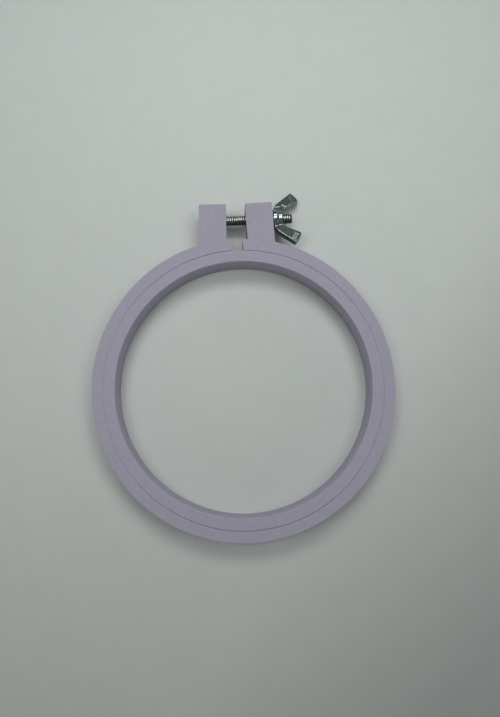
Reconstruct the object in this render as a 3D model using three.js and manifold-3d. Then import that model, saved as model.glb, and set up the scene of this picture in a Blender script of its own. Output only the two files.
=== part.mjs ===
// Round embroidery hoop in printed plastic, clamped by a bolt and a wing nut.
// Millimetres, +Z up. The hoop lies flat on z = 0 and its two lugs point towards +Y.
// The origin is the middle of the footprint, on the table.
import * as THREE from 'three';
import { mergeVertices } from 'three/addons/utils/BufferGeometryUtils.js';
import Module from 'manifold-3d';

// Rings
const holeDiameter = 92;
const innerWall = 4;
const partingGap = 0.3;
const outerWall = 3.8;
const hoopHeight = 10;

// Split and lugs of the outer ring
const splitWidth = 4;
const lugGap = 7.8;
const lugWidth = 10.1;
const lugHeight = 14.2;
const gapFloorRise = 0.3;
const lugLean = THREE.MathUtils.degToRad(1.3);

// The outer wall thickens towards the split, by this much there and from this angle away from it
const crownRise = 0.5;
const crownAngle = THREE.MathUtils.degToRad(54);

// Flexing place of the outer ring, opposite its split, where it is parted into two solids
const flexGap = 0.3;

// Bolt, head and nut
const boltDiameter = 4;
const boltLength = 30;
const boltInset = 4.75;
const boltTipChamfer = 0.5;
const headAcrossFlats = 7;
const headHeight = 2.8;
const headSunk = 2.4;
const headChamferAngle = THREE.MathUtils.degToRad(30);
const boltClearance = 0.3;
const pocketClearance = 0.35;
const seatGap = 0.3;

const hubBaseDiameter = 7.6;
const hubTopDiameter = 6.4;
const hubHeight = 3.6;
const hubRimHeight = 0.9;
const wingSpan = 23.2;
const wingHeight = 10.3;
const wingTipWidth = 5;
const wingTipCrown = 0.4;
const wingBackLength = 7.4;
const wingFrontLength = 5.6;
const wingBendLength = 1.4;
const wingFootRadius = 4.2;
const wingRootHeight = 0.4;
const wingThickness = 2.8;
const wingEdgeRounding = 0.5;
const webRadius = 4.2;
const webThickness = 2.4;
const wingAngle = THREE.MathUtils.degToRad(33);
const wingBackFlare = THREE.MathUtils.degToRad(8);
const wingFrontFlare = THREE.MathUtils.degToRad(4);
const wingRestTilt = THREE.MathUtils.degToRad(-16);

// Fineness: steps round a ring, round the bolt and its holes, round the head and hub,
// in a wing's bend and in the rounding of its edges
const ringSteps = 128;
const boltSteps = 24;
const hubSteps = 48;
const bendSteps = 6;
const edgeSteps = 3;
const weldDistance = 1e-5;

// Places that follow from the sizes above
const holeRadius = holeDiameter / 2;
const innerRingRadius = holeRadius + innerWall;
const outerBoreRadius = innerRingRadius + partingGap;
const outerRadius = outerBoreRadius + outerWall;
const wallMiddleRadius = (outerBoreRadius + outerRadius) / 2;
const lugInnerX = lugGap / 2;
const lugOuterX = lugInnerX + lugWidth;
const lugMiddleX = (lugInnerX + lugOuterX) / 2;
const lugTopY = outerRadius + lugHeight;
const boltY = lugTopY - boltInset;
const boltZ = hoopHeight / 2;
const boltRadius = boltDiameter / 2;
const boreRadius = boltRadius + boltClearance;
const flexAngle = Math.asin(lugMiddleX / wallMiddleRadius);
const lugFaceX = leaned(lugOuterX, boltY).x;
const headSeatX = -(lugFaceX - headSunk - headHeight);
const pocketFloorX = headSeatX + seatGap;
const nutSeatX = lugFaceX + seatGap + Math.tan(lugLean) * hubBaseDiameter / 2;

// Materials
const plastic = { color: 0xb3aec4, roughness: 0.62, metalness: 0 };
const zinc = { color: 0xa7b0b2, roughness: 0.35, metalness: 0.9 };
const steel = { color: 0x8f918a, roughness: 0.32, metalness: 0.9 };

const wasm = await Module();
wasm.setup();

// A lug stands on the ring and leans towards the gap about the middle of its foot.
function leaned(x, y) {
  const foot = new THREE.Vector2(lugMiddleX, outerRadius);
  return new THREE.Vector2(x, y).rotateAround(foot, lugLean);
}

// Where a line that runs from a point along a direction first meets a circle
function meetsCircle(point, direction, centre, radius) {
  const from = point.clone().sub(centre);
  const along = from.dot(direction);
  const reach = -along - Math.sqrt(along * along - from.lengthSq() + radius * radius);
  return point.clone().addScaledVector(direction, reach);
}

function toSolid(geometry) {
  const bare = geometry.clone();
  bare.deleteAttribute('normal');
  bare.deleteAttribute('uv');
  const merged = mergeVertices(bare, weldDistance);
  const vertProperties = new Float32Array(merged.attributes.position.array);
  const triVerts = new Uint32Array(merged.index.array);
  return new wasm.Manifold(new wasm.Mesh({ numProp: 3, vertProperties, triVerts }));
}

function toGeometry(solid) {
  const mesh = solid.getMesh();
  const geometry = new THREE.BufferGeometry();
  geometry.setAttribute('position', new THREE.BufferAttribute(mesh.vertProperties, mesh.numProp));
  geometry.setIndex(new THREE.BufferAttribute(mesh.triVerts, 1));
  geometry.computeVertexNormals();
  return geometry;
}

// A lathe turns its profile about Y. The profile is a list of radius and height.
function lathe(profile, steps) {
  return new THREE.LatheGeometry(profile.map(([radius, height]) => new THREE.Vector2(radius, height)), steps);
}

// The same with its axis laid along X, and the profile's foot at x
function latheAlongX(profile, steps, x) {
  return lathe(profile, steps).rotateZ(-Math.PI / 2).translate(x, 0, 0);
}

// The clearance hole that the bolt runs through, round the X axis
function boltHole(fromX, toX) {
  const length = toX - fromX;
  return latheAlongX([[0, 0], [boreRadius, 0], [boreRadius, length], [0, length]], boltSteps, fromX);
}

// A hexagonal bar along X with a flat on top and below
function hexBar(acrossFlats, fromX, toX) {
  const corner = acrossFlats / Math.sqrt(3);
  const length = toX - fromX;
  const bar = new THREE.CylinderGeometry(corner, corner, length, 6, 1).rotateY(Math.PI / 6);
  return bar.rotateZ(-Math.PI / 2).translate((fromX + toX) / 2, 0, 0);
}

// Inner ring: a plain band
function innerRing() {
  const profile = [
    [holeRadius, 0], [innerRingRadius, 0],
    [innerRingRadius, hoopHeight], [holeRadius, hoopHeight],
    [holeRadius, 0],
  ];
  return lathe(profile, ringSteps).rotateX(Math.PI / 2);
}

// Outline of one side of the outer ring with its lug, seen from above, for the right side.
// It runs down the bore, across the wall at the flexing place, back up the outside and over the lug.
// The outside is the ring's circle and then the crown's, which it leaves and meets without a step.
function ringSideOutline(flexEnd) {
  const splitX = splitWidth / 2;
  const floorY = outerRadius + gapFloorRise;
  const boreStart = Math.acos(splitX / outerBoreRadius);
  const down = new THREE.Vector2(Math.sin(lugLean), -Math.cos(lugLean));
  const topOuter = leaned(lugOuterX, lugTopY);
  const topInner = leaned(lugInnerX, lugTopY);
  const crownFoot = new THREE.Vector2(outerRadius * Math.sin(crownAngle), outerRadius * Math.cos(crownAngle));
  const crownTopY = outerRadius + crownRise;
  const crownCentreY = crownRise * (outerRadius + crownTopY) / (2 * (crownTopY - crownFoot.y));
  const crownCentre = new THREE.Vector2(0, crownCentreY);
  const crownRadius = crownTopY - crownCentreY;
  const footOuter = meetsCircle(topOuter, down, crownCentre, crownRadius);
  const crownStart = crownFoot.clone().sub(crownCentre).angle();
  const crownEnd = footOuter.clone().sub(crownCentre).angle();
  const floorInnerX = topInner.x + (topInner.y - floorY) * Math.tan(lugLean);
  const outline = new THREE.Shape();
  outline.absarc(0, 0, outerBoreRadius, boreStart, flexEnd, true);
  outline.absarc(0, 0, outerRadius, flexEnd, crownFoot.angle(), false);
  outline.absarc(0, crownCentreY, crownRadius, crownStart, crownEnd, false);
  outline.lineTo(topOuter.x, topOuter.y);
  outline.lineTo(topInner.x, topInner.y);
  outline.lineTo(floorInnerX, floorY);
  outline.lineTo(splitX, floorY);
  outline.closePath();
  return outline;
}

// An arc is drawn in twice its curveSegments, so each side, half a ring, gets half of the ring's steps.
function ringSide(flexEnd) {
  const settings = { depth: hoopHeight, bevelEnabled: false, curveSegments: ringSteps / 4 };
  return new THREE.ExtrudeGeometry(ringSideOutline(flexEnd), settings);
}

// The flexing place lies straight below the left lug's middle, so that this lug moves square to the bolt.
const bottom = -Math.PI / 2;
const halfFlexGapAngle = flexGap / 2 / wallMiddleRadius;

// Right side: its lug has a plain hole for the bolt
function outerRingRight() {
  const side = toSolid(ringSide(bottom - flexAngle + halfFlexGapAngle));
  const hole = boltHole(0, 2 * lugOuterX).translate(0, boltY, boltZ);
  return toGeometry(side.subtract(toSolid(hole)));
}

// Left side: its lug has the hole and a pocket that keeps the bolt's head from turning
function outerRingLeft() {
  const turnedOver = ringSide(bottom + flexAngle + halfFlexGapAngle).rotateY(Math.PI);
  const side = toSolid(turnedOver.translate(0, 0, hoopHeight));
  const hole = boltHole(-2 * lugOuterX, 0).translate(0, boltY, boltZ);
  const pocket = hexBar(headAcrossFlats + 2 * pocketClearance, -2 * lugOuterX, pocketFloorX);
  return toGeometry(side.subtract(toSolid(hole)).subtract(toSolid(pocket.translate(0, boltY, boltZ))));
}

// Hexagon-head bolt, threaded all along: the shank has the thread's outer diameter
function clampBolt() {
  const headTopX = headSeatX - headHeight;
  const corner = headAcrossFlats / Math.sqrt(3);
  const chamferDepth = (corner - headAcrossFlats / 2) * Math.tan(headChamferAngle);
  const cap = latheAlongX([
    [0, 0], [headAcrossFlats / 2, 0], [corner, chamferDepth], [corner, headHeight], [0, headHeight],
  ], hubSteps, headTopX);
  const head = toSolid(hexBar(headAcrossFlats, headTopX, headSeatX)).intersect(toSolid(cap));
  const tip = headHeight / 2 + boltLength;
  const shank = latheAlongX([
    [0, 0], [boltRadius, 0], [boltRadius, tip - boltTipChamfer], [boltRadius - boltTipChamfer, tip], [0, tip],
  ], boltSteps, headSeatX - headHeight / 2);
  return toGeometry(head.add(toSolid(shank)));
}

// A step of a given length, at an angle to the bolt, in a wing's own plane
function step(angle, length) {
  return new THREE.Vector2(Math.cos(angle), Math.sin(angle)).multiplyScalar(length);
}

// One wing in its own plane: x along the bolt from the nut's seat, y outwards from the bolt's axis.
// It leaves the hub steeply, bends over and grows wider towards its crowned tip.
function wingOutline() {
  const backAngle = wingAngle + wingBackFlare;
  const frontAngle = wingAngle - wingFrontFlare;
  const tipBack = new THREE.Vector2(wingHeight - wingTipWidth * Math.sin(wingAngle), wingSpan / 2);
  const tipFront = new THREE.Vector2(wingHeight, wingSpan / 2 - wingTipWidth * Math.cos(wingAngle));
  const tipCrown = tipBack.clone().lerp(tipFront, 0.5).add(step(wingAngle, 2 * wingTipCrown));
  const bendBack = tipBack.clone().sub(step(backAngle, wingBackLength));
  const bendFront = tipFront.clone().sub(step(frontAngle, wingFrontLength));
  const shoulder = bendBack.clone().sub(step(backAngle, wingBendLength));
  const armpit = bendFront.clone().sub(step(frontAngle, wingBendLength));
  const rootFront = new THREE.Vector2(hubHeight - wingRootHeight, hubTopDiameter / 2 - wingRootHeight);
  const outline = new THREE.Shape();
  outline.moveTo(wingRootHeight, 0);
  outline.lineTo(wingRootHeight, wingFootRadius);
  outline.quadraticCurveTo(shoulder.x, shoulder.y, bendBack.x, bendBack.y);
  outline.lineTo(tipBack.x, tipBack.y);
  outline.quadraticCurveTo(tipCrown.x, tipCrown.y, tipFront.x, tipFront.y);
  outline.lineTo(bendFront.x, bendFront.y);
  outline.quadraticCurveTo(armpit.x, armpit.y, rootFront.x, rootFront.y);
  outline.lineTo(rootFront.x, 0);
  outline.closePath();
  return outline;
}

// The web that carries a wing, seen along the bolt: x outwards from its axis, y across the plate
function webSection() {
  const startHalf = hubTopDiameter / 2 * Math.SQRT1_2;
  const endHalf = webThickness / 2;
  const bendX = (startHalf + webRadius) / 2;
  const section = new THREE.Shape();
  section.moveTo(0, -startHalf);
  section.lineTo(startHalf, -startHalf);
  section.quadraticCurveTo(bendX, -endHalf, webRadius, -endHalf);
  section.lineTo(webRadius, endHalf);
  section.quadraticCurveTo(bendX, endHalf, startHalf, startHalf);
  section.lineTo(0, startHalf);
  section.closePath();
  return section;
}

// One wing: a plate with rounded edges, and its web, which has the plate's outline
function wing(turn) {
  const outline = wingOutline();
  const flat = wingThickness - 2 * wingEdgeRounding;
  const rounded = {
    depth: flat,
    bevelThickness: wingEdgeRounding,
    bevelSize: wingEdgeRounding,
    bevelOffset: -wingEdgeRounding,
    bevelSegments: edgeSteps,
    curveSegments: bendSteps,
  };
  const across = { depth: hubBaseDiameter, bevelEnabled: false, curveSegments: bendSteps };
  const along = { depth: 2 * wingHeight, bevelEnabled: false, curveSegments: bendSteps };
  const plate = new THREE.ExtrudeGeometry(outline, rounded).translate(0, 0, -flat / 2);
  const block = new THREE.ExtrudeGeometry(outline, across).translate(0, 0, -hubBaseDiameter / 2);
  const drawnAlongX = new THREE.Matrix4().makeBasis(
    new THREE.Vector3(0, 1, 0), new THREE.Vector3(0, 0, 1), new THREE.Vector3(1, 0, 0),
  );
  const section = new THREE.ExtrudeGeometry(webSection(), along).translate(0, 0, -wingHeight / 2);
  const web = toSolid(block).intersect(toSolid(section.applyMatrix4(drawnAlongX)));
  return toSolid(plate).add(web).rotate(turn, 0, 0);
}

// Wing nut: a tapered hub with two wings in one plane
function wingNut() {
  const hub = latheAlongX([
    [0, 0], [hubBaseDiameter / 2, 0],
    [hubBaseDiameter / 2, hubRimHeight], [hubTopDiameter / 2, hubHeight],
    [0, hubHeight],
  ], hubSteps, 0);
  const body = toSolid(hub).add(wing(0)).add(wing(180));
  return toGeometry(body.subtract(toSolid(boltHole(-wingHeight, wingHeight))));
}

function piece(name, geometry, look) {
  const mesh = new THREE.Mesh(geometry, new THREE.MeshStandardMaterial(look));
  mesh.name = name;
  return mesh;
}

const hoop = new THREE.Group();
hoop.add(piece('outer_ring_right', outerRingRight(), plastic));
hoop.add(piece('outer_ring_left', outerRingLeft(), plastic));
hoop.add(piece('inner_ring', innerRing(), plastic));

const bolt = piece('clamp_bolt', clampBolt(), steel);
bolt.position.set(0, boltY, boltZ);
hoop.add(bolt);

const nut = piece('wing_nut', wingNut(), zinc);
nut.position.set(nutSeatX, boltY, boltZ);
nut.rotation.x = wingRestTilt;
hoop.add(nut);

// The origin comes to the middle of the footprint.
const footprint = new THREE.Box3().setFromObject(hoop, true);
hoop.position.y = -(footprint.min.y + footprint.max.y) / 2;

export default hoop;
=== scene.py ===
"""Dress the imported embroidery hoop: fine meshes, finishes, a floor with its lamps, and the camera."""

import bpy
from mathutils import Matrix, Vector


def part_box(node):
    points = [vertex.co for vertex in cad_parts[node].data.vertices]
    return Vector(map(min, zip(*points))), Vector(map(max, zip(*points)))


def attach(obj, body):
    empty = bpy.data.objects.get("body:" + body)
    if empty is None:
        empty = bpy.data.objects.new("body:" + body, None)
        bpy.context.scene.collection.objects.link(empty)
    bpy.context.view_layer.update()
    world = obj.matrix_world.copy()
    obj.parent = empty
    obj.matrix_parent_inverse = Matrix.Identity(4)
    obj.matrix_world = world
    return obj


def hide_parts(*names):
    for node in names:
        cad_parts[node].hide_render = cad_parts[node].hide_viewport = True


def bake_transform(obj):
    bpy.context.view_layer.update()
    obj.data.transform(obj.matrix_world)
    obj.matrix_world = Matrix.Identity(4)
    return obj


bl_info = {
    "name": "Embroidery hoop",
    "version": (1, 0, 0),
    "blender": (4, 5, 0),
    "location": "View3D > Sidebar > Hoop",
    "description": "Models a printed embroidery hoop with its clamp bolt and wing nut",
    "category": "Add Mesh",
}

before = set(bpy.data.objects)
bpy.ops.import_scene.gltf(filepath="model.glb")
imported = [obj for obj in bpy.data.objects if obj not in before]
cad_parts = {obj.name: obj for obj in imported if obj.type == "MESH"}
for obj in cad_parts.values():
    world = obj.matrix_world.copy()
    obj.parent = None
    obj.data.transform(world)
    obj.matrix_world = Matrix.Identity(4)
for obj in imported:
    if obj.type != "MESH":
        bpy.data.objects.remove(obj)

import math

import bpy
from mathutils import Matrix, Vector

MM = 0.001
FULL_TURN = 2 * math.pi

# Points nearer to each other than this are merged
MERGE_BELOW = 0.001 * MM

# Edges sharper than this are rounded
ROUND_ABOVE = math.radians(50)

# Edges blunter than this look smooth, and on the bolt those blunter than the second
SMOOTH_BELOW = math.radians(40)
BOLT_SMOOTH_BELOW = math.radians(25)

# Steps of a rounded edge, of a wing's rounded edge and of a short curve
EDGE_STEPS = 3
WING_EDGE_STEPS = 5
CURVE_STEPS = 4

# Steps round the lugs' hole, and round the nut and the floor
HOLE_STEPS = 72
ROUND_STEPS = 96

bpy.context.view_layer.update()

# Places that the imported parts give
ring_low, ring_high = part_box("inner_ring")
bolt_low, bolt_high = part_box("clamp_bolt")
nut_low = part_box("wing_nut")[0]
ring_centre = Vector(((ring_low.x + ring_high.x) / 2, (ring_low.y + ring_high.y) / 2, 0))
inner_ring_radius = (ring_high.x - ring_low.x) / 2
hoop_height = ring_high.z - ring_low.z
bolt_axis = Vector((0, (bolt_low.y + bolt_high.y) / 2, (bolt_low.z + bolt_high.z) / 2))
nut_seat = bolt_axis + Vector((nut_low.x, 0, 0))


def length(name, description, default):
    return bpy.props.FloatProperty(
        name=name, description=description, default=default, unit="LENGTH", precision=5
    )


def angle(name, description, default):
    return bpy.props.FloatProperty(
        name=name, description=description, default=default, subtype="ANGLE", unit="ROTATION"
    )


def colour(name, description, default):
    return bpy.props.FloatVectorProperty(
        name=name, description=description, default=default, size=3, subtype="COLOR", min=0, max=1
    )


def position(name, description, default):
    return bpy.props.FloatVectorProperty(
        name=name, description=description, default=default, subtype="XYZ", unit="LENGTH", precision=6
    )


def amount(name, description, default):
    return bpy.props.FloatProperty(name=name, description=description, default=default)


class HoopRingSizes(bpy.types.PropertyGroup):
    """Sizes of the two printed rings"""

    inner_wall: length("Inner wall", "Thickness of the inner ring", 4 * MM)
    parting_gap: length("Parting gap", "Space that the cloth takes between the two rings", 0.3 * MM)
    parting_line: length("Parting line", "Mean space between the closed rings at their sides", 0.03 * MM)
    oval: length("Oval", "How much narrower the inner ring is from the lugs to the far side", 0.21 * MM)
    inner_shift: length("Inner shift", "How far the inner ring lies towards one side", 0.0125 * MM)
    shift_turn: angle("Shift turn", "Side that the inner ring lies towards, from +X", math.radians(165))
    outer_wall: length("Outer wall", "Thickness of the outer ring", 3.8 * MM)
    edge_round: length("Edge rounding", "Radius of the rings' edges", 0.22 * MM)
    parting_round: length("Parting rounding", "Radius of the edges along the parting line", 0.05 * MM)
    steps: bpy.props.IntProperty(name="Steps", description="Steps round a ring", default=288)


class HoopLugSizes(bpy.types.PropertyGroup):
    """Sizes of the outer ring's split and lugs"""

    split_width: length("Split", "Width of the split through the outer ring", 4 * MM)
    gap: length("Lug gap", "Space between the two lugs", 7.8 * MM)
    width: length("Lug width", "Width of each lug along the bolt", 10.1 * MM)
    height: length("Lug height", "How far each lug stands out from the ring", 14.2 * MM)
    floor_rise: length("Gap floor", "Height of the gap's floor over the ring", 0.3 * MM)
    lean: angle("Lug lean", "Lean of each lug towards the gap", math.radians(1.3))
    crown_rise: length("Crown rise", "Extra thickness of the outer wall at the split", 0.5 * MM)
    crown_angle: angle("Crown angle", "Where the wall starts to thicken, from the split", math.radians(54))
    bolt_hole: length("Bolt hole", "Diameter of the hole through the lugs", 4.6 * MM)
    pocket_flats: length("Pocket", "Width across the flats of the pocket for the bolt's head", 7.7 * MM)
    bend_reach: length("Bend reach", "Half the stretch that bends, opposite the split", 1.5 * MM)


class HoopBoltSizes(bpy.types.PropertyGroup):
    """Sizes of the clamp bolt"""

    diameter: length("Diameter", "Outer diameter of the thread", 4.08 * MM)
    core: length("Core", "Diameter at the thread's root", 3.16 * MM)
    pitch: length("Pitch", "Advance of the thread in one turn", 0.7 * MM)
    crest: length("Crest", "Width of the flat on a thread's crest", 0.16 * MM)
    flank_angle: angle("Flank angle", "Slant of a thread's flanks", math.radians(25))
    tip_chamfer: length("Tip chamfer", "Chamfer of the bolt's end", 0.45 * MM)
    head_flats: length("Head", "Width across the head's flats", 7 * MM)
    head_height: length("Head height", "Height of the head", 2.8 * MM)
    head_chamfer: angle("Head chamfer", "Slant of the chamfer round the head's top", math.radians(30))
    seat_gap: length("Seat gap", "Space under the head", 0.3 * MM)
    steps: bpy.props.IntProperty(name="Steps", description="Steps in a turn of the thread", default=40)


class HoopNutSizes(bpy.types.PropertyGroup):
    """Sizes of the wing nut"""

    base_diameter: length("Base", "Diameter of the hub at its seat", 7.6 * MM)
    top_diameter: length("Top", "Diameter of the hub at its top", 6.4 * MM)
    hub_height: length("Hub height", "Height of the hub", 3.6 * MM)
    rim_height: length("Rim", "Height of the hub's straight rim", 1.3 * MM)
    groove: length("Groove", "Depth of the groove round the hub", 0.45 * MM)
    bore: length("Bore", "Diameter of the threaded hole", 4.18 * MM)
    sink: length("Countersink", "Depth of the countersink at each end of the bore", 0.35 * MM)
    wing_span: length("Span", "Distance between the wings' outer corners", 23.2 * MM)
    wing_height: length("Wing height", "Reach of the wings along the bolt", 10.3 * MM)
    tip_width: length("Tip width", "Width of a wing's tip", 5.05 * MM)
    tip_crown: length("Tip crown", "Height of the crown on a wing's tip", 0.4 * MM)
    back_length: length("Back", "Length of the straight part of a wing's back", 7.4 * MM)
    front_length: length("Front", "Length of the straight part of a wing's front", 5.6 * MM)
    bend_length: length("Bend", "How far the bends at a wing's root reach", 1.4 * MM)
    foot_radius: length("Foot", "Where a wing's back leaves the seat, from the axis", 4.2 * MM)
    wing_root: length("Wing root", "Step from the hub's ends to the wings", 0.3 * MM)
    wing_thickness: length("Wing thickness", "Thickness of a wing's plate", 2.5 * MM)
    edge_round: length("Edge rounding", "Rounding of a wing's edges", 0.3 * MM)
    root_thickness: length("Root thickness", "Thickness of a wing between hub and plate", 2.1 * MM)
    plate_reach: length("Plate", "Where the plate starts, from the axis", 5.1 * MM)
    arch_rise: length("Arch", "How far the plate's start arches away from the hub", 0.7 * MM)
    wing_angle: angle("Wing angle", "Angle of the wings to the bolt", math.radians(33))
    back_flare: angle("Back flare", "Flare of a wing's back towards its tip", math.radians(8))
    front_flare: angle("Front flare", "Flare of a wing's front towards its tip", math.radians(4))
    rest_tilt: angle("Rest tilt", "Turn of the wings about the bolt at rest", math.radians(-16))
    ribs: bpy.props.IntProperty(
        name="Ribs", description="How many grip ribs each face of a wing has", default=4
    )
    rib_length: length("Rib length", "Length of the grip ribs at a wing's tip", 1.6 * MM)
    rib_width: length("Rib width", "Width of a grip rib", 0.3 * MM)
    rib_step: length("Rib step", "Distance from one grip rib to the next", 0.8 * MM)
    rib_rise: length("Rib rise", "Height of a grip rib", 0.1 * MM)
    rib_inset: length("Rib inset", "Distance of the ribs from the wing's tip", 0.5 * MM)
    softness: bpy.props.IntProperty(
        name="Softness", description="How often the cast wings are smoothed", default=5
    )
    body_softness: bpy.props.IntProperty(
        name="Body softness", description="How often the whole nut is smoothed", default=3
    )
    grain: length("Grain", "Finest detail of the cast body", 0.075 * MM)


class HoopColours(bpy.types.PropertyGroup):
    """Colours of the finishes, the floor and the room"""

    plastic: colour("Plastic", "Pale greyish lavender of the rings", (0.272, 0.259, 0.326))
    zinc: colour("Zinc", "Plating of the wing nut", (0.218, 0.258, 0.263))
    steel: colour("Steel", "Plating of the bolt", (0.46, 0.48, 0.43))
    # Painted shade: a dark colour that stands for the shade in the thread's roots and flanks
    painted_root_shade: colour("Grime", "Dark oil in the thread's roots", (0.06, 0.065, 0.055))
    floor: colour("Floor", "Pale floor", (0.430, 0.466, 0.443))
    room: colour("Room", "Fill light of the room", (1, 0.97, 0.99))
    backdrop: colour("Backdrop", "Room as seen and reflected", (0.94, 1, 0.97))


class HoopStage(bpy.types.PropertyGroup):
    """The floor, lamps, room light and camera"""

    left_place: position("Left lamp place", "Middle of the lamp over the left side", (-0.135, 0, 0.33))
    left_across: length("Left lamp width", "Width of the left lamp", 0.08)
    left_power: amount("Left lamp power", "Power of the left lamp in watts", 0.25)
    right_place: position("Right lamp place", "Middle of the lamp over the right side", (0.16, 0, 0.33))
    right_across: length("Right lamp width", "Width of the right lamp", 0.15)
    right_power: amount("Right lamp power", "Power of the right lamp in watts", 0.28)
    back_place: position("Back lamp place", "Middle of the lamp beyond the lugs", (0.01, 0.24, 0.368))
    back_across: length("Back lamp width", "Width of the back lamp", 0.3)
    back_power: amount("Back lamp power", "Power of the back lamp in watts", 0.86)
    lamp_along: length("Lamp length", "Length of the lamps, towards the lugs", 0.14)
    glint_place: position("Glint place", "Middle of the glint overhead", (-0.03, 0.048, 0.32))
    far_glint_place: position("Far glint place", "Middle of the glint beyond the lugs", (0.03, 0.29, 0.36))
    glint_across: length("Glint width", "Width of each glint, a lamp that only metal and gloss mirror", 0.28)
    glint_along: length("Glint height", "Height of each glint", 0.085)
    glint_power: amount("Glint power", "Power of each glint in watts", 0.53)
    room_low: amount("Room, low down", "Light of the room from near the horizon", 1.6)
    room_high: amount("Room, overhead", "Light of the room from overhead", 0.05)
    seen_low: amount("Backdrop, low down", "Backdrop near the horizon, as seen and reflected", 0.6)
    seen_high: amount("Backdrop, overhead", "Backdrop overhead, as seen and reflected", 0.26)
    floor_radius: length("Floor radius", "Radius of the floor", 1.5)
    floor_drop: length("Floor drop", "Space between the part's underside and the floor", 0.02 * MM)
    camera_place: position("Camera place", "Place of the camera", (-0.00390178, -0.0246878, 0.18775559))
    camera_turn: bpy.props.FloatVectorProperty(
        name="Camera turn",
        description="Turn of the camera about X, Y and Z",
        default=(0.134785729, -0.0283267671, -0.0527211518),
        subtype="EULER",
        precision=6,
    )
    focal_share: amount("Focal share", "Focal length, as a share of the picture's long side", 500 / 717)
    nearest_seen: length("Nearest seen", "Distance from the camera at which its view starts", 0.01)


SETTINGS = {
    "hoop_rings": HoopRingSizes,
    "hoop_lugs": HoopLugSizes,
    "hoop_bolt": HoopBoltSizes,
    "hoop_nut": HoopNutSizes,
    "hoop_colours": HoopColours,
    "hoop_stage": HoopStage,
}


def deselect_all():
    """Deselect every object, because an operator acts on all that is selected."""
    for item in bpy.context.selected_objects:
        item.select_set(False)


def make_active(piece):
    """Select one piece alone."""
    deselect_all()
    piece.select_set(True)
    bpy.context.view_layer.objects.active = piece


def start_outline(name, start):
    """Start a mesh as one vertex: a small square merged at its middle, then moved to the start."""
    deselect_all()
    bpy.ops.mesh.primitive_plane_add(size=MM, enter_editmode=True)
    bpy.context.object.name = name
    bpy.ops.mesh.merge(type="CENTER")
    bpy.ops.transform.translate(value=start)
    return bpy.context.object, Vector(start)


def draw_to(here, there):
    """Extrude the outline's end from here to there, and return there."""
    bpy.ops.mesh.extrude_region_move(TRANSFORM_OT_translate={"value": Vector(there) - here})
    return Vector(there)


def draw_arc(here, centre, turn, steps):
    """Spin the outline's end about the Z axis through a centre, and return where it comes to.
    The operator counts its angle the other way round.
    """
    bpy.ops.mesh.spin(steps=steps, angle=-turn, center=centre, axis=(0, 0, 1))
    return centre + Matrix.Rotation(turn, 3, "Z") @ (here - centre)


def draw_outline(name, points):
    """Draw an open outline through a list of points."""
    piece, here = start_outline(name, points[0])
    for point in points[1:]:
        here = draw_to(here, point)
    return piece


def fill_outline():
    """Join the outline's end to its start and fill it."""
    bpy.ops.mesh.select_all(action="SELECT")
    bpy.ops.mesh.remove_doubles(threshold=MERGE_BELOW)
    bpy.ops.mesh.edge_face_add()


def raise_face(rise):
    """Draw the filled outline out into a solid."""
    bpy.ops.mesh.extrude_region_move(TRANSFORM_OT_translate={"value": rise})
    leave_edit()


def leave_edit():
    """Point all faces outwards and leave edit mode."""
    bpy.ops.mesh.select_all(action="SELECT")
    bpy.ops.mesh.normals_make_consistent(inside=False)
    bpy.ops.object.mode_set(mode="OBJECT")


def raised(name, points, rise):
    """A solid with one outline, closed by itself, drawn out along a line."""
    piece = draw_outline(name, points)
    fill_outline()
    raise_face(rise)
    return piece


def spin_outline(centre, axis, steps):
    """Spin an outline once round an axis, and close it."""
    bpy.ops.mesh.select_all(action="SELECT")
    bpy.ops.mesh.spin(steps=steps, angle=FULL_TURN, center=centre, axis=axis)
    bpy.ops.mesh.select_all(action="SELECT")
    bpy.ops.mesh.remove_doubles(threshold=MERGE_BELOW)
    leave_edit()


def apply_modifier(piece, kind, **values):
    """Add a modifier with its settings and apply it."""
    make_active(piece)
    modifier = piece.modifiers.new(kind.title(), kind)
    for name, value in values.items():
        setattr(modifier, name, value)
    bpy.ops.object.modifier_apply(modifier=modifier.name)


def combine(piece, tool, operation):
    """Join, cut or keep with a second solid, which is used up."""
    apply_modifier(piece, "BOOLEAN", operation=operation, object=tool, solver="EXACT")
    bpy.data.objects.remove(tool)


def round_edges(piece, width, steps, **settings):
    """Round the sharp edges of a piece."""
    apply_modifier(
        piece,
        "BEVEL",
        width=width,
        segments=steps,
        limit_method="ANGLE",
        angle_limit=ROUND_ABOVE,
        **settings,
    )


def smooth(piece, below):
    """Shade a piece smooth over its edges that are blunter than an angle."""
    make_active(piece)
    bpy.ops.object.shade_smooth_by_angle(angle=below)


def smooth_ring(ring):
    """Shade a ring smooth over its rounded edges, and keep its large faces flat."""
    smooth(ring, SMOOTH_BELOW)
    apply_modifier(ring, "WEIGHTED_NORMAL", keep_sharp=True)


def finish_piece(piece, material):
    """Give a piece its material: its object already sits at the origin."""
    piece.data.materials.clear()
    piece.data.materials.append(material)


def curve_points(start, bend, end):
    """Points of a curve that leaves start towards bend and comes to end from it."""
    points = []
    for step in range(1, CURVE_STEPS + 1):
        t = step / CURVE_STEPS
        points.append((1 - t) ** 2 * start + 2 * t * (1 - t) * bend + t * t * end)
    return points


def rounded_outline(corners):
    """Points of a closed outline with rounded corners. Each corner is a point and its rounding."""
    points = []
    for number, (corner, rounding) in enumerate(corners):
        before = corners[number - 1][0]
        after = corners[(number + 1) % len(corners)][0]
        start = corner + (before - corner).normalized() * rounding
        end = corner + (after - corner).normalized() * rounding
        points += [start, *curve_points(start, corner, end)]
    return points + points[:1]


def parting_radius():
    """Radius of the middle of the space between the rings."""
    return inner_ring_radius + bpy.context.scene.hoop_rings.parting_gap / 2


def outer_radius():
    """Radius of the outer ring's outside, away from the crown."""
    rings = bpy.context.scene.hoop_rings
    return inner_ring_radius + rings.parting_gap + rings.outer_wall


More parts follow.
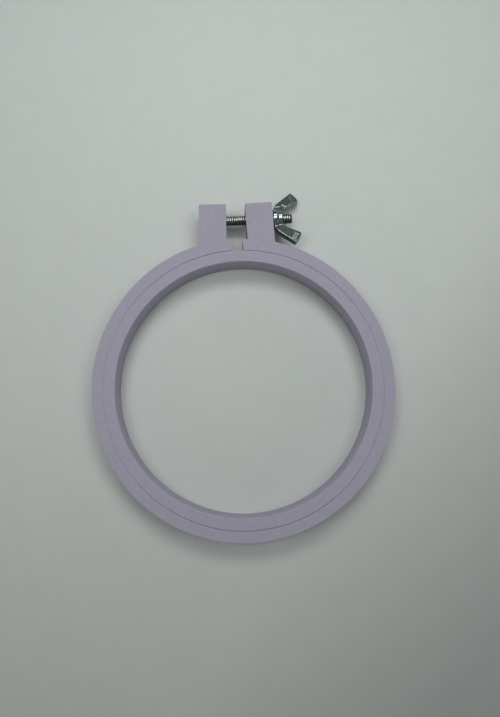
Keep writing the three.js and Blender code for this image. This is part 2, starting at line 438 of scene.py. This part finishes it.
class HOOP_OT_add_inner_ring(bpy.types.Operator):
    """Add the inner ring, a plain band that is slightly oval"""

    bl_idname = "hoop.add_inner_ring"
    bl_label = "Add inner ring"

    def execute(self, context):
        rings = context.scene.hoop_rings
        hole = inner_ring_radius - rings.inner_wall
        outside = parting_radius() - rings.parting_line / 2
        shift = Matrix.Rotation(rings.shift_turn, 3, "Z") @ Vector((rings.inner_shift, 0, 0))
        middle = ring_centre + shift
        section = [
            (middle + Vector((hole, 0, 0)), rings.edge_round),
            (middle + Vector((outside, 0, 0)), rings.parting_round),
            (middle + Vector((outside, 0, hoop_height)), rings.parting_round),
            (middle + Vector((hole, 0, hoop_height)), rings.edge_round),
        ]
        ring = draw_outline("inner_ring_printed", rounded_outline(section))
        spin_outline(middle, (0, 0, 1), rings.steps)
        squeeze = 1 - rings.oval / (2 * outside)
        bpy.ops.transform.resize(value=(1, squeeze, 1), center_override=middle)
        bpy.ops.object.transform_apply()
        smooth_ring(ring)
        finish_piece(ring, plastic_material())
        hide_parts("inner_ring")
        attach(ring, "inner_ring")
        return {"FINISHED"}


def leaned(x, y):
    """A point of a lug, from the ring's centre: the lug leans towards the gap about its foot's middle."""
    lugs = bpy.context.scene.hoop_lugs
    foot = Vector(((lugs.gap + lugs.width) / 2, outer_radius(), 0))
    return foot + Matrix.Rotation(lugs.lean, 3, "Z") @ (Vector((x, y, 0)) - foot)


def meets_circle(point, direction, centre, radius):
    """Where a line that runs from a point along a direction first meets a circle."""
    offset = point - centre
    along = offset.dot(direction)
    reach = -along - math.sqrt(along * along - offset.length_squared + radius * radius)
    return point + reach * direction


def outer_ring_blank():
    """The outer ring and its lugs as one outline, drawn round once and raised to the hoop's height.
    Its outside is the ring's circle and, towards the lugs, the crown's, a larger one.
    """
    lugs = bpy.context.scene.hoop_lugs
    rings = bpy.context.scene.hoop_rings
    outside = outer_radius()
    bore = parting_radius() + rings.parting_line / 2
    split_x = lugs.split_width / 2
    floor_y = outside + lugs.floor_rise

    crown_start = outside * Vector((math.sin(lugs.crown_angle), math.cos(lugs.crown_angle), 0))
    crown_top = outside + lugs.crown_rise
    crown_centre_y = lugs.crown_rise * (outside + crown_top) / (2 * (crown_top - crown_start.y))
    crown_centre = Vector((0, crown_centre_y, 0))
    top_outer = leaned(lugs.gap / 2 + lugs.width, outside + lugs.height)
    top_inner = leaned(lugs.gap / 2, outside + lugs.height)
    down = Matrix.Rotation(lugs.lean, 3, "Z") @ Vector((0, -1, 0))
    foot = meets_circle(top_outer, down, crown_centre, crown_top - crown_centre_y)
    crown_turn = (crown_start - crown_centre).angle(foot - crown_centre)
    floor_x = top_inner.x + (top_inner.y - floor_y) * math.tan(lugs.lean)
    over_lug = [top_outer, top_inner, Vector((floor_x, floor_y, 0)), Vector((split_x, floor_y, 0))]

    bore_start = Vector((split_x, math.sqrt(bore * bore - split_x * split_x), 0))
    bore_turn = FULL_TURN - 2 * math.asin(split_x / bore)
    outside_turn = FULL_TURN - 2 * lugs.crown_angle
    crown_steps = math.ceil(rings.steps * crown_turn / FULL_TURN)
    outside_steps = math.ceil(rings.steps * outside_turn / FULL_TURN)
    mirror = Matrix.Scale(-1, 3, (1, 0, 0))
    piece, here = start_outline("outer_ring_printed", ring_centre + bore_start)
    here = draw_arc(here, ring_centre, -bore_turn, rings.steps)
    for corner in [*reversed(over_lug), foot]:
        here = draw_to(here, ring_centre + mirror @ corner)
    here = draw_arc(here, ring_centre + crown_centre, crown_turn, crown_steps)
    here = draw_arc(here, ring_centre, outside_turn, outside_steps)
    here = draw_arc(here, ring_centre + crown_centre, crown_turn, crown_steps)
    for corner in over_lug:
        here = draw_to(here, ring_centre + corner)
    draw_to(here, ring_centre + bore_start)
    fill_outline()
    raise_face((0, 0, hoop_height))
    return piece


def round_parting_edges(piece):
    """Round the two edges round the bore, which are finer than the others."""
    rings = bpy.context.scene.hoop_rings
    reach = parting_radius() + rings.parting_line
    near = [
        (Vector((*vertex.co.xy, 0)) - ring_centre).length < reach for vertex in piece.data.vertices
    ]
    for edge in piece.data.edges:
        first, second = edge.vertices
        level = abs(piece.data.vertices[first].co.z - piece.data.vertices[second].co.z) < MM
        edge.select = near[first] and near[second] and level
    make_active(piece)
    bpy.ops.object.mode_set(mode="EDIT")
    bpy.ops.mesh.select_mode(type="EDGE")
    bpy.ops.mesh.bevel(offset=rings.parting_round, segments=EDGE_STEPS)
    bpy.ops.mesh.select_mode(type="VERT")
    bpy.ops.object.mode_set(mode="OBJECT")


def rod_along_x(radius, from_x, to_x, sides):
    """A round or many-sided rod round the bolt's axis, with a flat on top where the sides are six."""
    deselect_all()
    bpy.ops.mesh.primitive_cylinder_add(
        vertices=sides,
        radius=radius,
        depth=to_x - from_x,
        location=bolt_axis + Vector(((from_x + to_x) / 2, 0, 0)),
        rotation=(0, math.pi / 2, 0),
    )
    bpy.ops.object.transform_apply()
    return bpy.context.object


def hexagon_rod(across_flats, from_x, to_x):
    """A six-sided rod round the bolt's axis, given its width across the flats."""
    return rod_along_x(across_flats / math.sqrt(3), from_x, to_x, 6)


class HOOP_OT_add_outer_ring(bpy.types.Operator):
    """Add the split outer ring with its two lugs"""

    bl_idname = "hoop.add_outer_ring"
    bl_label = "Add outer ring"

    def execute(self, context):
        rings = context.scene.hoop_rings
        lugs = context.scene.hoop_lugs
        bolt = context.scene.hoop_bolt
        ring = outer_ring_blank()
        round_parting_edges(ring)
        far = 2 * (lugs.gap / 2 + lugs.width)
        pocket_floor = bolt_low.x + bolt.head_height + bolt.seat_gap
        combine(ring, rod_along_x(lugs.bolt_hole / 2, -far, far, HOLE_STEPS), "DIFFERENCE")
        combine(ring, hexagon_rod(lugs.pocket_flats, -far, pocket_floor), "DIFFERENCE")
        round_edges(ring, rings.edge_round, EDGE_STEPS)
        smooth_ring(ring)
        finish_piece(ring, plastic_material())
        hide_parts("outer_ring_right", "outer_ring_left")
        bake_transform(ring)
        return {"FINISHED"}


def turned(name, profile, steps, centre):
    """A turned piece round the X axis through a centre. Its profile is a list of x and radius."""
    piece = draw_outline(name, [centre + Vector((x, radius, 0)) for x, radius in profile])
    spin_outline(centre, (1, 0, 0), steps)
    return piece


def thread(bolt, from_x, to_x):
    """A thread round the bolt's axis: one turn's section, screwed along the axis and filled at both ends."""
    rise = (bolt.diameter - bolt.core) / 2
    flank = rise * math.tan(bolt.flank_angle)
    root = bolt.pitch - bolt.crest - 2 * flank
    piece, here = start_outline("thread", (0, 0, bolt.core / 2))
    for along, outwards in ((flank, rise), (bolt.crest, 0), (flank, -rise), (root, 0)):
        here = draw_to(here, here + Vector((along, 0, outwards)))
    bpy.ops.object.mode_set(mode="OBJECT")
    apply_modifier(
        piece,
        "SCREW",
        axis="X",
        screw_offset=bolt.pitch,
        iterations=math.ceil((to_x - from_x) / bolt.pitch),
        steps=bolt.steps,
        render_steps=bolt.steps,
        use_merge_vertices=True,
        merge_threshold=MERGE_BELOW,
    )
    bpy.ops.object.mode_set(mode="EDIT")
    bpy.ops.mesh.select_all(action="SELECT")
    bpy.ops.transform.translate(value=bolt_axis + Vector((from_x, 0, 0)))
    bpy.ops.mesh.remove_doubles(threshold=MERGE_BELOW)
    bpy.ops.mesh.fill_holes(sides=0)
    leave_edit()
    return piece


class HOOP_OT_add_clamp_bolt(bpy.types.Operator):
    """Add the bolt with its real thread and hexagon head"""

    bl_idname = "hoop.add_clamp_bolt"
    bl_label = "Add clamp bolt"

    def execute(self, context):
        bolt = context.scene.hoop_bolt
        head_top = bolt_low.x
        seat = head_top + bolt.head_height
        tip = bolt_high.x
        inside_head = seat - bolt.head_height / 2
        over = bolt.diameter / 2 + 2 * bolt.tip_chamfer
        tip_radius = bolt.diameter / 2 - bolt.tip_chamfer
        blank = [
            (inside_head, 0),
            (inside_head, over),
            (tip - over + tip_radius, over),
            (tip, tip_radius),
            (tip, 0),
        ]
        piece = thread(bolt, inside_head - bolt.pitch, tip + bolt.pitch)
        combine(piece, turned("blank", blank, bolt.steps, bolt_axis), "INTERSECT")
        flat = bolt.head_flats / 2
        corner = bolt.head_flats / math.sqrt(3)
        drop = (corner - flat) * math.tan(bolt.head_chamfer)
        cap = [(head_top, 0), (head_top, flat), (head_top + drop, corner), (seat, corner), (seat, 0)]
        head = hexagon_rod(bolt.head_flats, head_top, seat)
        combine(head, turned("cap", cap, 2 * bolt.steps, bolt_axis), "INTERSECT")
        combine(piece, head, "UNION")
        piece.name = "clamp_bolt_threaded"
        smooth(piece, BOLT_SMOOTH_BELOW)
        finish_piece(piece, steel_material())
        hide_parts("clamp_bolt")
        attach(piece, "bolt")
        return {"FINISHED"}


def hub_profile(nut):
    """The hub's profile: a straight rim, a cone down into a shallow groove, and a rounded end."""
    rim = nut.base_diameter / 2
    top = nut.top_diameter / 2
    soft = nut.groove / 3
    cone_length = 1.6 * nut.groove
    return [
        (0, 0),
        (0, rim - soft),
        (soft, rim),
        (nut.rim_height, rim),
        (nut.rim_height + cone_length, rim - nut.groove),
        (nut.hub_height - 2 * soft, top + soft),
        (nut.hub_height - soft / 2, top - soft / 2),
        (nut.hub_height, top - 2 * soft),
        (nut.hub_height, 0),
    ]


def way(turn):
    """The way at an angle to the bolt, in a wing's own plane."""
    return Vector((math.cos(turn), math.sin(turn), 0))


def wing_tip(nut):
    """The back and front corner of a wing's tip, from the nut's seat on the bolt's axis."""
    back = Vector((nut.wing_height - nut.tip_width * math.sin(nut.wing_angle), nut.wing_span / 2, 0))
    front = Vector((nut.wing_height, nut.wing_span / 2 - nut.tip_width * math.cos(nut.wing_angle), 0))
    return back, front


def wing_outline(nut):
    """One wing in its own plane: x along the bolt, y outwards. It grows wider towards its tip."""
    tip_back, tip_front = wing_tip(nut)
    back_way = way(nut.wing_angle + nut.back_flare)
    front_way = way(nut.wing_angle - nut.front_flare)
    crown = (tip_back + tip_front) / 2 + 2 * nut.tip_crown * way(nut.wing_angle)
    bend_back = tip_back - nut.back_length * back_way
    bend_front = tip_front - nut.front_length * front_way
    start = Vector((nut.wing_root, 0, 0))
    foot = Vector((nut.wing_root, nut.foot_radius, 0))
    root = Vector((nut.hub_height - nut.wing_root, nut.top_diameter / 2 - nut.wing_root, 0))
    return [
        start,
        foot,
        *curve_points(foot, bend_back - nut.bend_length * back_way, bend_back),
        tip_back,
        *curve_points(tip_back, crown, tip_front),
        bend_front,
        *curve_points(bend_front, bend_front - nut.bend_length * front_way, root),
        Vector((root.x, 0, 0)),
        start,
    ]


def wing_plate(nut, thickness):
    """A plate with a wing's outline and rounded edges."""
    down = Vector((0, 0, -thickness / 2))
    plate = raised("plate", [down + point for point in wing_outline(nut)], -2 * down)
    round_edges(plate, nut.edge_round, WING_EDGE_STEPS, use_clamp_overlap=False)
    return plate


def wing_root_room(nut):
    """The room round a wing's root where its plate is missing: it arches away from the hub's end."""
    deep = nut.wing_thickness
    rise = nut.arch_rise
    low = nut.plate_reach
    high = low + rise
    mouth = nut.hub_height - rise
    beyond = mouth + 4 * rise
    points = [
        Vector((-deep, -deep, -deep)),
        Vector((-deep, low, -deep)),
        Vector((mouth, low, -deep)),
        Vector((mouth + rise, high, -deep)),
        Vector((mouth + 2 * rise, high, -deep)),
        Vector((beyond, low - rise / 2, -deep)),
        Vector((beyond, -deep, -deep)),
        Vector((-deep, -deep, -deep)),
    ]
    return raised("room", points, (0, 0, 2 * deep))


def wing_rib(nut, across):
    """One grip rib on both faces of a wing, at a distance across from the wing's middle."""
    back, front = wing_tip(nut)
    along = way(nut.wing_angle)
    sideways = (back - front).normalized()
    half = sideways * nut.rib_width / 2
    end = (back + front) / 2 + sideways * across - along * nut.rib_inset
    start = end - along * nut.rib_length
    down = Vector((0, 0, -nut.wing_thickness / 2 - nut.rib_rise))
    corners = [start - half, end - half, end + half, start + half, start - half]
    return raised("rib", [corner + down for corner in corners], -2 * down)


def soften(piece, grain, times):
    """Melt a piece's parts into one skin of fine facets, and smooth it."""
    make_active(piece)
    piece.data.remesh_voxel_size = grain
    bpy.ops.object.voxel_remesh()
    apply_modifier(piece, "SMOOTH", factor=0.5, iterations=times)


def join(piece, others):
    """Put other pieces into a piece's mesh as they are."""
    make_active(piece)
    for other in others:
        other.select_set(True)
    bpy.ops.object.join()


def add_wing(nut, turn):
    """One wing, turned about the bolt: a plate on a thinner root, with grip ribs."""
    wing = wing_plate(nut, nut.wing_thickness)
    combine(wing, wing_root_room(nut), "DIFFERENCE")
    join(wing, [wing_plate(nut, nut.root_thickness)])
    coarse_grain = 1.3 * nut.grain
    soften(wing, coarse_grain, nut.softness)
    middle = (nut.ribs - 1) / 2
    join(wing, [wing_rib(nut, (number - middle) * nut.rib_step) for number in range(nut.ribs)])
    wing.matrix_world = Matrix.Rotation(turn, 4, "X")
    return wing


class HOOP_OT_add_wing_nut(bpy.types.Operator):
    """Add the cast wing nut: a grooved hub with two wings, softened all over, and a clean bore"""

    bl_idname = "hoop.add_wing_nut"
    bl_label = "Add wing nut"

    def execute(self, context):
        nut = context.scene.hoop_nut
        origin = Vector((0, 0, 0))
        hub = turned("wing_nut_cast", hub_profile(nut), ROUND_STEPS, origin)
        join(hub, [add_wing(nut, 0), add_wing(nut, math.pi)])
        soften(hub, nut.grain, nut.body_softness)
        bore = nut.bore / 2
        cutter = [
            (-nut.sink, 0),
            (-nut.sink, bore + 2 * nut.sink),
            (nut.sink, bore),
            (nut.hub_height - nut.sink, bore),
            (nut.hub_height + nut.sink, bore + 2 * nut.sink),
            (nut.hub_height + nut.sink, 0),
        ]
        combine(hub, turned("bore", cutter, ROUND_STEPS, origin), "DIFFERENCE")
        smooth(hub, SMOOTH_BELOW)
        hub.matrix_world = Matrix.Translation(nut_seat) @ Matrix.Rotation(nut.rest_tilt, 4, "X")
        bpy.ops.object.transform_apply()
        finish_piece(hub, zinc_material())
        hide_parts("wing_nut")
        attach(hub, "nut")
        return {"FINISHED"}


def set_inputs(tree, node, inputs):
    """Set a node's inputs. A value is a number or colour, or another node's output to link."""
    for name, value in inputs.items():
        if isinstance(value, bpy.types.NodeSocket):
            tree.links.new(value, node.inputs[name])
        else:
            node.inputs[name].default_value = value


def add_node(tree, kind, inputs=None, **settings):
    """Add a shader node with its settings and inputs."""
    made = tree.nodes.new("ShaderNode" + kind)
    for name, value in settings.items():
        setattr(made, name, value)
    set_inputs(tree, made, inputs or {})
    return made


def maths(tree, operation, first, second=0.0, third=0.0):
    """One step of arithmetic with fields and numbers."""
    return add_node(tree, "Math", {0: first, 1: second, 2: third}, operation=operation).outputs[0]


def total(tree, *parts):
    """The sum of fields, each times its own number."""
    added = 0.0
    for field, times in parts:
        added = maths(tree, "MULTIPLY_ADD", field, times, added)
    return added


def ramp(tree, field, start, end, low, high, **settings):
    """A field made to run from low, at start and before it, to high, at end and beyond it."""
    inputs = {0: field, 1: start, 2: end, 3: low, 4: high}
    return add_node(tree, "MapRange", inputs, **settings).outputs[0]


def object_place(tree):
    """The place on a piece, whose object sits at the part's origin."""
    return add_node(tree, "TexCoord").outputs["Object"]


def axes_of(tree, vector):
    """A vector's parts along X, Y and Z."""
    return add_node(tree, "SeparateXYZ", {0: vector}).outputs


def from_axis(tree, place, middle, across):
    """A place measured from a middle, and its distance from the axis that runs through there.
    The last value is 1 for each direction across that axis.
    """
    centred = add_node(tree, "VectorMath", {0: place, 1: middle}, operation="SUBTRACT").outputs[0]
    flat = add_node(tree, "VectorMath", {0: centred, 1: across}, operation="MULTIPLY").outputs[0]
    return centred, add_node(tree, "VectorMath", {0: flat}, operation="LENGTH").outputs["Value"]


def noise(tree, place, size, detail=2.0):
    """A random field between 0 and 1 whose lumps have about the given size."""
    return add_node(tree, "TexNoise", {"Vector": place, "Scale": 1 / size, "Detail": detail}).outputs[0]


def spread(tree, field, low, high):
    """A random field's middle stretch, brought to between two numbers."""
    return ramp(tree, field, 0.3, 0.7, low, high)


def waves(tree, field, period):
    """Waves between -1 and 1 over a field of distances."""
    return maths(tree, "SINE", maths(tree, "MULTIPLY", field, FULL_TURN / period))


def rgba(tint, level=1):
    """A colour at a level, with full alpha."""
    return (*(level * part for part in tint), 1)


def mix_colours(tree, share, first, second):
    """A colour that runs from the first at a share of 0 to the second at 1, and on past both."""
    inputs = {0: share, 6: first, 7: second}
    return add_node(tree, "Mix", inputs, data_type="RGBA", clamp_factor=False).outputs[2]


def shades_of(tree, tint, field, low, high):
    """A colour whose lightness follows a field, from low to high times the colour."""
    return mix_colours(tree, field, rgba(tint, low), rgba(tint, high))


def bump(tree, height):
    """The normal of a surface that is raised by a field of heights in millimetres."""
    return add_node(tree, "Bump", {"Height": height, "Distance": MM, "Strength": 1}).outputs["Normal"]


def new_material(name):
    """Start a material, and return it with its node tree and its main shader."""
    material = bpy.data.materials.new(name)
    material.use_nodes = True
    return material, material.node_tree, material.node_tree.nodes["Principled BSDF"]


def plastic_material():
    """Printed plastic: layer lines on the walls, lines of the nozzle's path on top, grain and mottling."""
    found = bpy.data.materials.get("printed_plastic")
    if found:
        return found
    material, tree, shader = new_material("printed_plastic")
    path_width = 0.42 * MM
    skin_step = 0.6 * MM
    layer_height = 0.2 * MM
    lugs_start = outer_radius() + 0.6 * MM
    level_enough = 0.7
    place = object_place(tree)
    centred, radius = from_axis(tree, place, ring_centre, (1, 1, 0))
    axes = axes_of(tree, centred)
    on_lug = maths(tree, "GREATER_THAN", radius, lugs_start)
    upright = axes_of(tree, add_node(tree, "NewGeometry").outputs["Normal"])[2]
    on_top = maths(tree, "GREATER_THAN", maths(tree, "ABSOLUTE", upright), level_enough)
    round_lines = waves(tree, radius, path_width)
    skin_lines = waves(tree, maths(tree, "ADD", axes[0], axes[1]), skin_step)
    top_lines = add_node(tree, "Mix", {0: on_lug, 2: round_lines, 3: skin_lines}).outputs[0]
    lines = maths(tree, "MULTIPLY", top_lines, on_top)
    layers = waves(tree, axes[2], layer_height)
    grain = noise(tree, place, 0.25 * MM, 3)
    mottle = noise(tree, place, 1.6 * MM, 4)
    fleck = noise(tree, place, 0.7 * MM, 2)
    height = total(tree, (lines, 0.006), (layers, 0.008), (grain, 0.04), (mottle, 0.06))
    shade = spread(tree, total(tree, (mottle, 0.5), (fleck, 0.5)), 0, 1)
    tint = bpy.context.scene.hoop_colours.plastic
    finish = {
        "Base Color": shades_of(tree, tint, shade, 0.93, 1.07),
        "Roughness": spread(tree, grain, 0.52, 0.72),
        "Specular IOR Level": 0.4,
        "Normal": bump(tree, height),
    }
    set_inputs(tree, shader, finish)
    return material


def steel_material():
    """Plated steel, bright on the thread's crests, with painted shade that darkens its roots and flanks. The
    head and the bolt's end have no painted shade.
    """
    material, tree, shader = new_material("plated_steel")
    colours = bpy.context.scene.hoop_colours
    bolt = bpy.context.scene.hoop_bolt
    shade_up_to = bolt.core / 2 + 0.15 * MM
    bright_from = bolt.diameter / 2 - 0.04 * MM
    end_face = bolt_high.x - 0.02 * MM
    place = object_place(tree)
    radius = from_axis(tree, place, bolt_axis, (0, 1, 1))[1]
    along = axes_of(tree, place)[0]
    on_head = maths(tree, "LESS_THAN", along, bolt_low.x + bolt.head_height)
    on_end = maths(tree, "GREATER_THAN", along, end_face)
    # The head and the bolt's end get no painted shade
    clean = maths(tree, "MAXIMUM", on_head, on_end)
    # Painted shade: the thread is dark from its root up its flanks, and has the full steel colour only at
    # the crests
    thread_unshaded = ramp(tree, radius, shade_up_to, bright_from, 0, 1)
    bright = maths(tree, "MAXIMUM", thread_unshaded, clean)
    specks = noise(tree, place, 0.3 * MM, 3)
    dents = noise(tree, place, 0.12 * MM, 2)
    base = shades_of(tree, colours.steel, spread(tree, specks, 0, 1), 0.85, 1.1)
    finish = {
        "Base Color": mix_colours(tree, bright, rgba(colours.painted_root_shade), base),
        "Roughness": spread(tree, specks, 0.2, 0.34),
        "Metallic": 1,
        "Normal": bump(tree, total(tree, (dents, 0.008))),
    }
    set_inputs(tree, shader, finish)
    return material


def zinc_material():
    """Zinc plate over a cast body: soft lumps, fine pits and cloudy plating."""
    material, tree, shader = new_material("zinc_plate")
    place = object_place(tree)
    lumps = noise(tree, place, 1.1 * MM, 2)
    pits = noise(tree, place, 0.2 * MM, 3)
    clouds = noise(tree, place, 0.8 * MM, 3)
    tint = bpy.context.scene.hoop_colours.zinc
    finish = {
        "Base Color": shades_of(tree, tint, spread(tree, clouds, 0, 1), 0.72, 1.2),
        "Roughness": spread(tree, clouds, 0.12, 0.22),
        "Metallic": 1,
        "Normal": bump(tree, total(tree, (lumps, 0.03), (pits, 0.012))),
    }
    set_inputs(tree, shader, finish)
    return material


def floor_material():
    """A pale floor, faintly stained, with painted light that makes it lighter beyond the lugs, and painted
    shade that makes it darker in the near right corner.
    """
    material, tree, shader = new_material("pale_floor")
    place = object_place(tree)
    axes = axes_of(tree, place)
    stains = spread(tree, noise(tree, place, 9 * MM, 5), 0.985, 1.015)
    # Painted light: the floor's colour grows lighter beyond the lugs and darker nearer, as the light falls
    # off
    depth = ramp(tree, axes[1], start=-0.15, end=0.13, low=0.88, high=1.17)
    # Painted shade: the floor's colour darkens towards the near right corner
    towards_corner = total(tree, (axes[0], 0.8), (axes[1], -0.6))
    corner = ramp(tree, towards_corner, start=0.05, end=0.13, low=1, high=0.7)
    level = maths(tree, "MULTIPLY", maths(tree, "MULTIPLY", stains, depth), corner)
    tint = bpy.context.scene.hoop_colours.floor
    set_inputs(tree, shader, {"Base Color": shades_of(tree, tint, level, 0, 1), "Roughness": 0.6})
    return material


def room_level(tree, low, high):
    """A level that is low's near the horizon and high's overhead."""
    upwards = axes_of(tree, add_node(tree, "TexCoord").outputs["Generated"])[2]
    return ramp(tree, upwards, 0.1, 0.45, low, high, interpolation_type="SMOOTHSTEP")


def room_light(stage):
    """A plain room: fill light from low down all round, and a pale backdrop that is darker overhead."""
    world = bpy.data.worlds.new("plain_room")
    world.use_nodes = True
    tree = world.node_tree
    colours = bpy.context.scene.hoop_colours
    fill = tree.nodes["Background"]
    fill_level = room_level(tree, stage.room_low, stage.room_high)
    set_inputs(tree, fill, {"Color": rgba(colours.room), "Strength": fill_level})
    seen_level = room_level(tree, stage.seen_low, stage.seen_high)
    backdrop = add_node(tree, "Background", {"Color": rgba(colours.backdrop), "Strength": seen_level})
    rays = add_node(tree, "LightPath").outputs
    seen = maths(tree, "MAXIMUM", rays["Is Camera Ray"], rays["Is Glossy Ray"])
    seen = maths(tree, "MAXIMUM", seen, rays["Is Transmission Ray"])
    mix = add_node(tree, "MixShader", {0: seen, 1: fill.outputs[0], 2: backdrop.outputs[0]})
    tree.links.new(mix.outputs[0], tree.nodes["World Output"].inputs["Surface"])
    bpy.context.scene.world = world


def add_lamp(name, place, across, along, power):
    """An area lamp that faces the rings. The camera doesn't see it."""
    deselect_all()
    bpy.ops.object.light_add(type="AREA", location=place)
    lamp = bpy.context.object
    lamp.name = name
    lamp.rotation_euler = (ring_centre - lamp.location).to_track_quat("-Z", "Y").to_euler()
    lamp.data.shape = "RECTANGLE"
    lamp.data.size = across
    lamp.data.size_y = along
    lamp.data.energy = power
    lamp.visible_camera = False
    return lamp


class HOOP_OT_add_stage(bpy.types.Operator):
    """Add the floor, the lamps, the room's light and the camera"""

    bl_idname = "hoop.add_stage"
    bl_label = "Add stage"

    def execute(self, context):
        stage = context.scene.hoop_stage
        deselect_all()
        bpy.ops.mesh.primitive_circle_add(
            vertices=ROUND_STEPS,
            radius=stage.floor_radius,
            fill_type="NGON",
            location=(0, 0, -stage.floor_drop),
        )
        floor = context.object
        floor.name = "floor"
        floor.data.materials.append(floor_material())

        soft_lamps = (
            ("left_lamp", stage.left_place, stage.left_across, stage.left_power),
            ("right_lamp", stage.right_place, stage.right_across, stage.right_power),
            ("back_lamp", stage.back_place, stage.back_across, stage.back_power),
        )
        for name, place, across, power in soft_lamps:
            add_lamp(name, place, across, stage.lamp_along, power).visible_glossy = False
        for name, place in (("glint", stage.glint_place), ("far_glint", stage.far_glint_place)):
            glint = add_lamp(name, place, stage.glint_across, stage.glint_along, stage.glint_power)
            glint.visible_diffuse = False
        room_light(stage)

        deselect_all()
        bpy.ops.object.camera_add(location=stage.camera_place, rotation=stage.camera_turn)
        camera = context.object
        camera.name = "camera"
        camera.data.lens = camera.data.sensor_width * stage.focal_share
        camera.data.clip_start = stage.nearest_seen
        context.scene.camera = camera
        context.scene.view_settings.view_transform = "Standard"
        return {"FINISHED"}


OPERATORS = (
    HOOP_OT_add_stage,
    HOOP_OT_add_inner_ring,
    HOOP_OT_add_outer_ring,
    HOOP_OT_add_clamp_bolt,
    HOOP_OT_add_wing_nut,
)


class HOOP_PT_pieces(bpy.types.Panel):
    """The hoop's pieces and their sizes"""

    bl_label = "Embroidery hoop"
    bl_idname = "HOOP_PT_pieces"
    bl_space_type = "VIEW_3D"
    bl_region_type = "UI"
    bl_category = "Hoop"

    def draw(self, context):
        for name, group in SETTINGS.items():
            box = self.layout.box()
            for field in group.__annotations__:
                box.prop(getattr(context.scene, name), field)
        for operator in OPERATORS:
            self.layout.operator(operator.bl_idname)


def register():
    for group in SETTINGS.values():
        bpy.utils.register_class(group)
    for name, group in SETTINGS.items():
        setattr(bpy.types.Scene, name, bpy.props.PointerProperty(type=group))
    for operator in OPERATORS:
        bpy.utils.register_class(operator)
    bpy.utils.register_class(HOOP_PT_pieces)


def unregister():
    bpy.utils.unregister_class(HOOP_PT_pieces)
    for operator in reversed(OPERATORS):
        bpy.utils.unregister_class(operator)
    for name, group in reversed(list(SETTINGS.items())):
        delattr(bpy.types.Scene, name)
        bpy.utils.unregister_class(group)


def main():
    """Register the classes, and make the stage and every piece."""
    register()
    bpy.ops.hoop.add_stage()
    bpy.ops.hoop.add_inner_ring()
    bpy.ops.hoop.add_outer_ring()
    bpy.ops.hoop.add_clamp_bolt()
    bpy.ops.hoop.add_wing_nut()


if __name__ == "__main__":
    main()
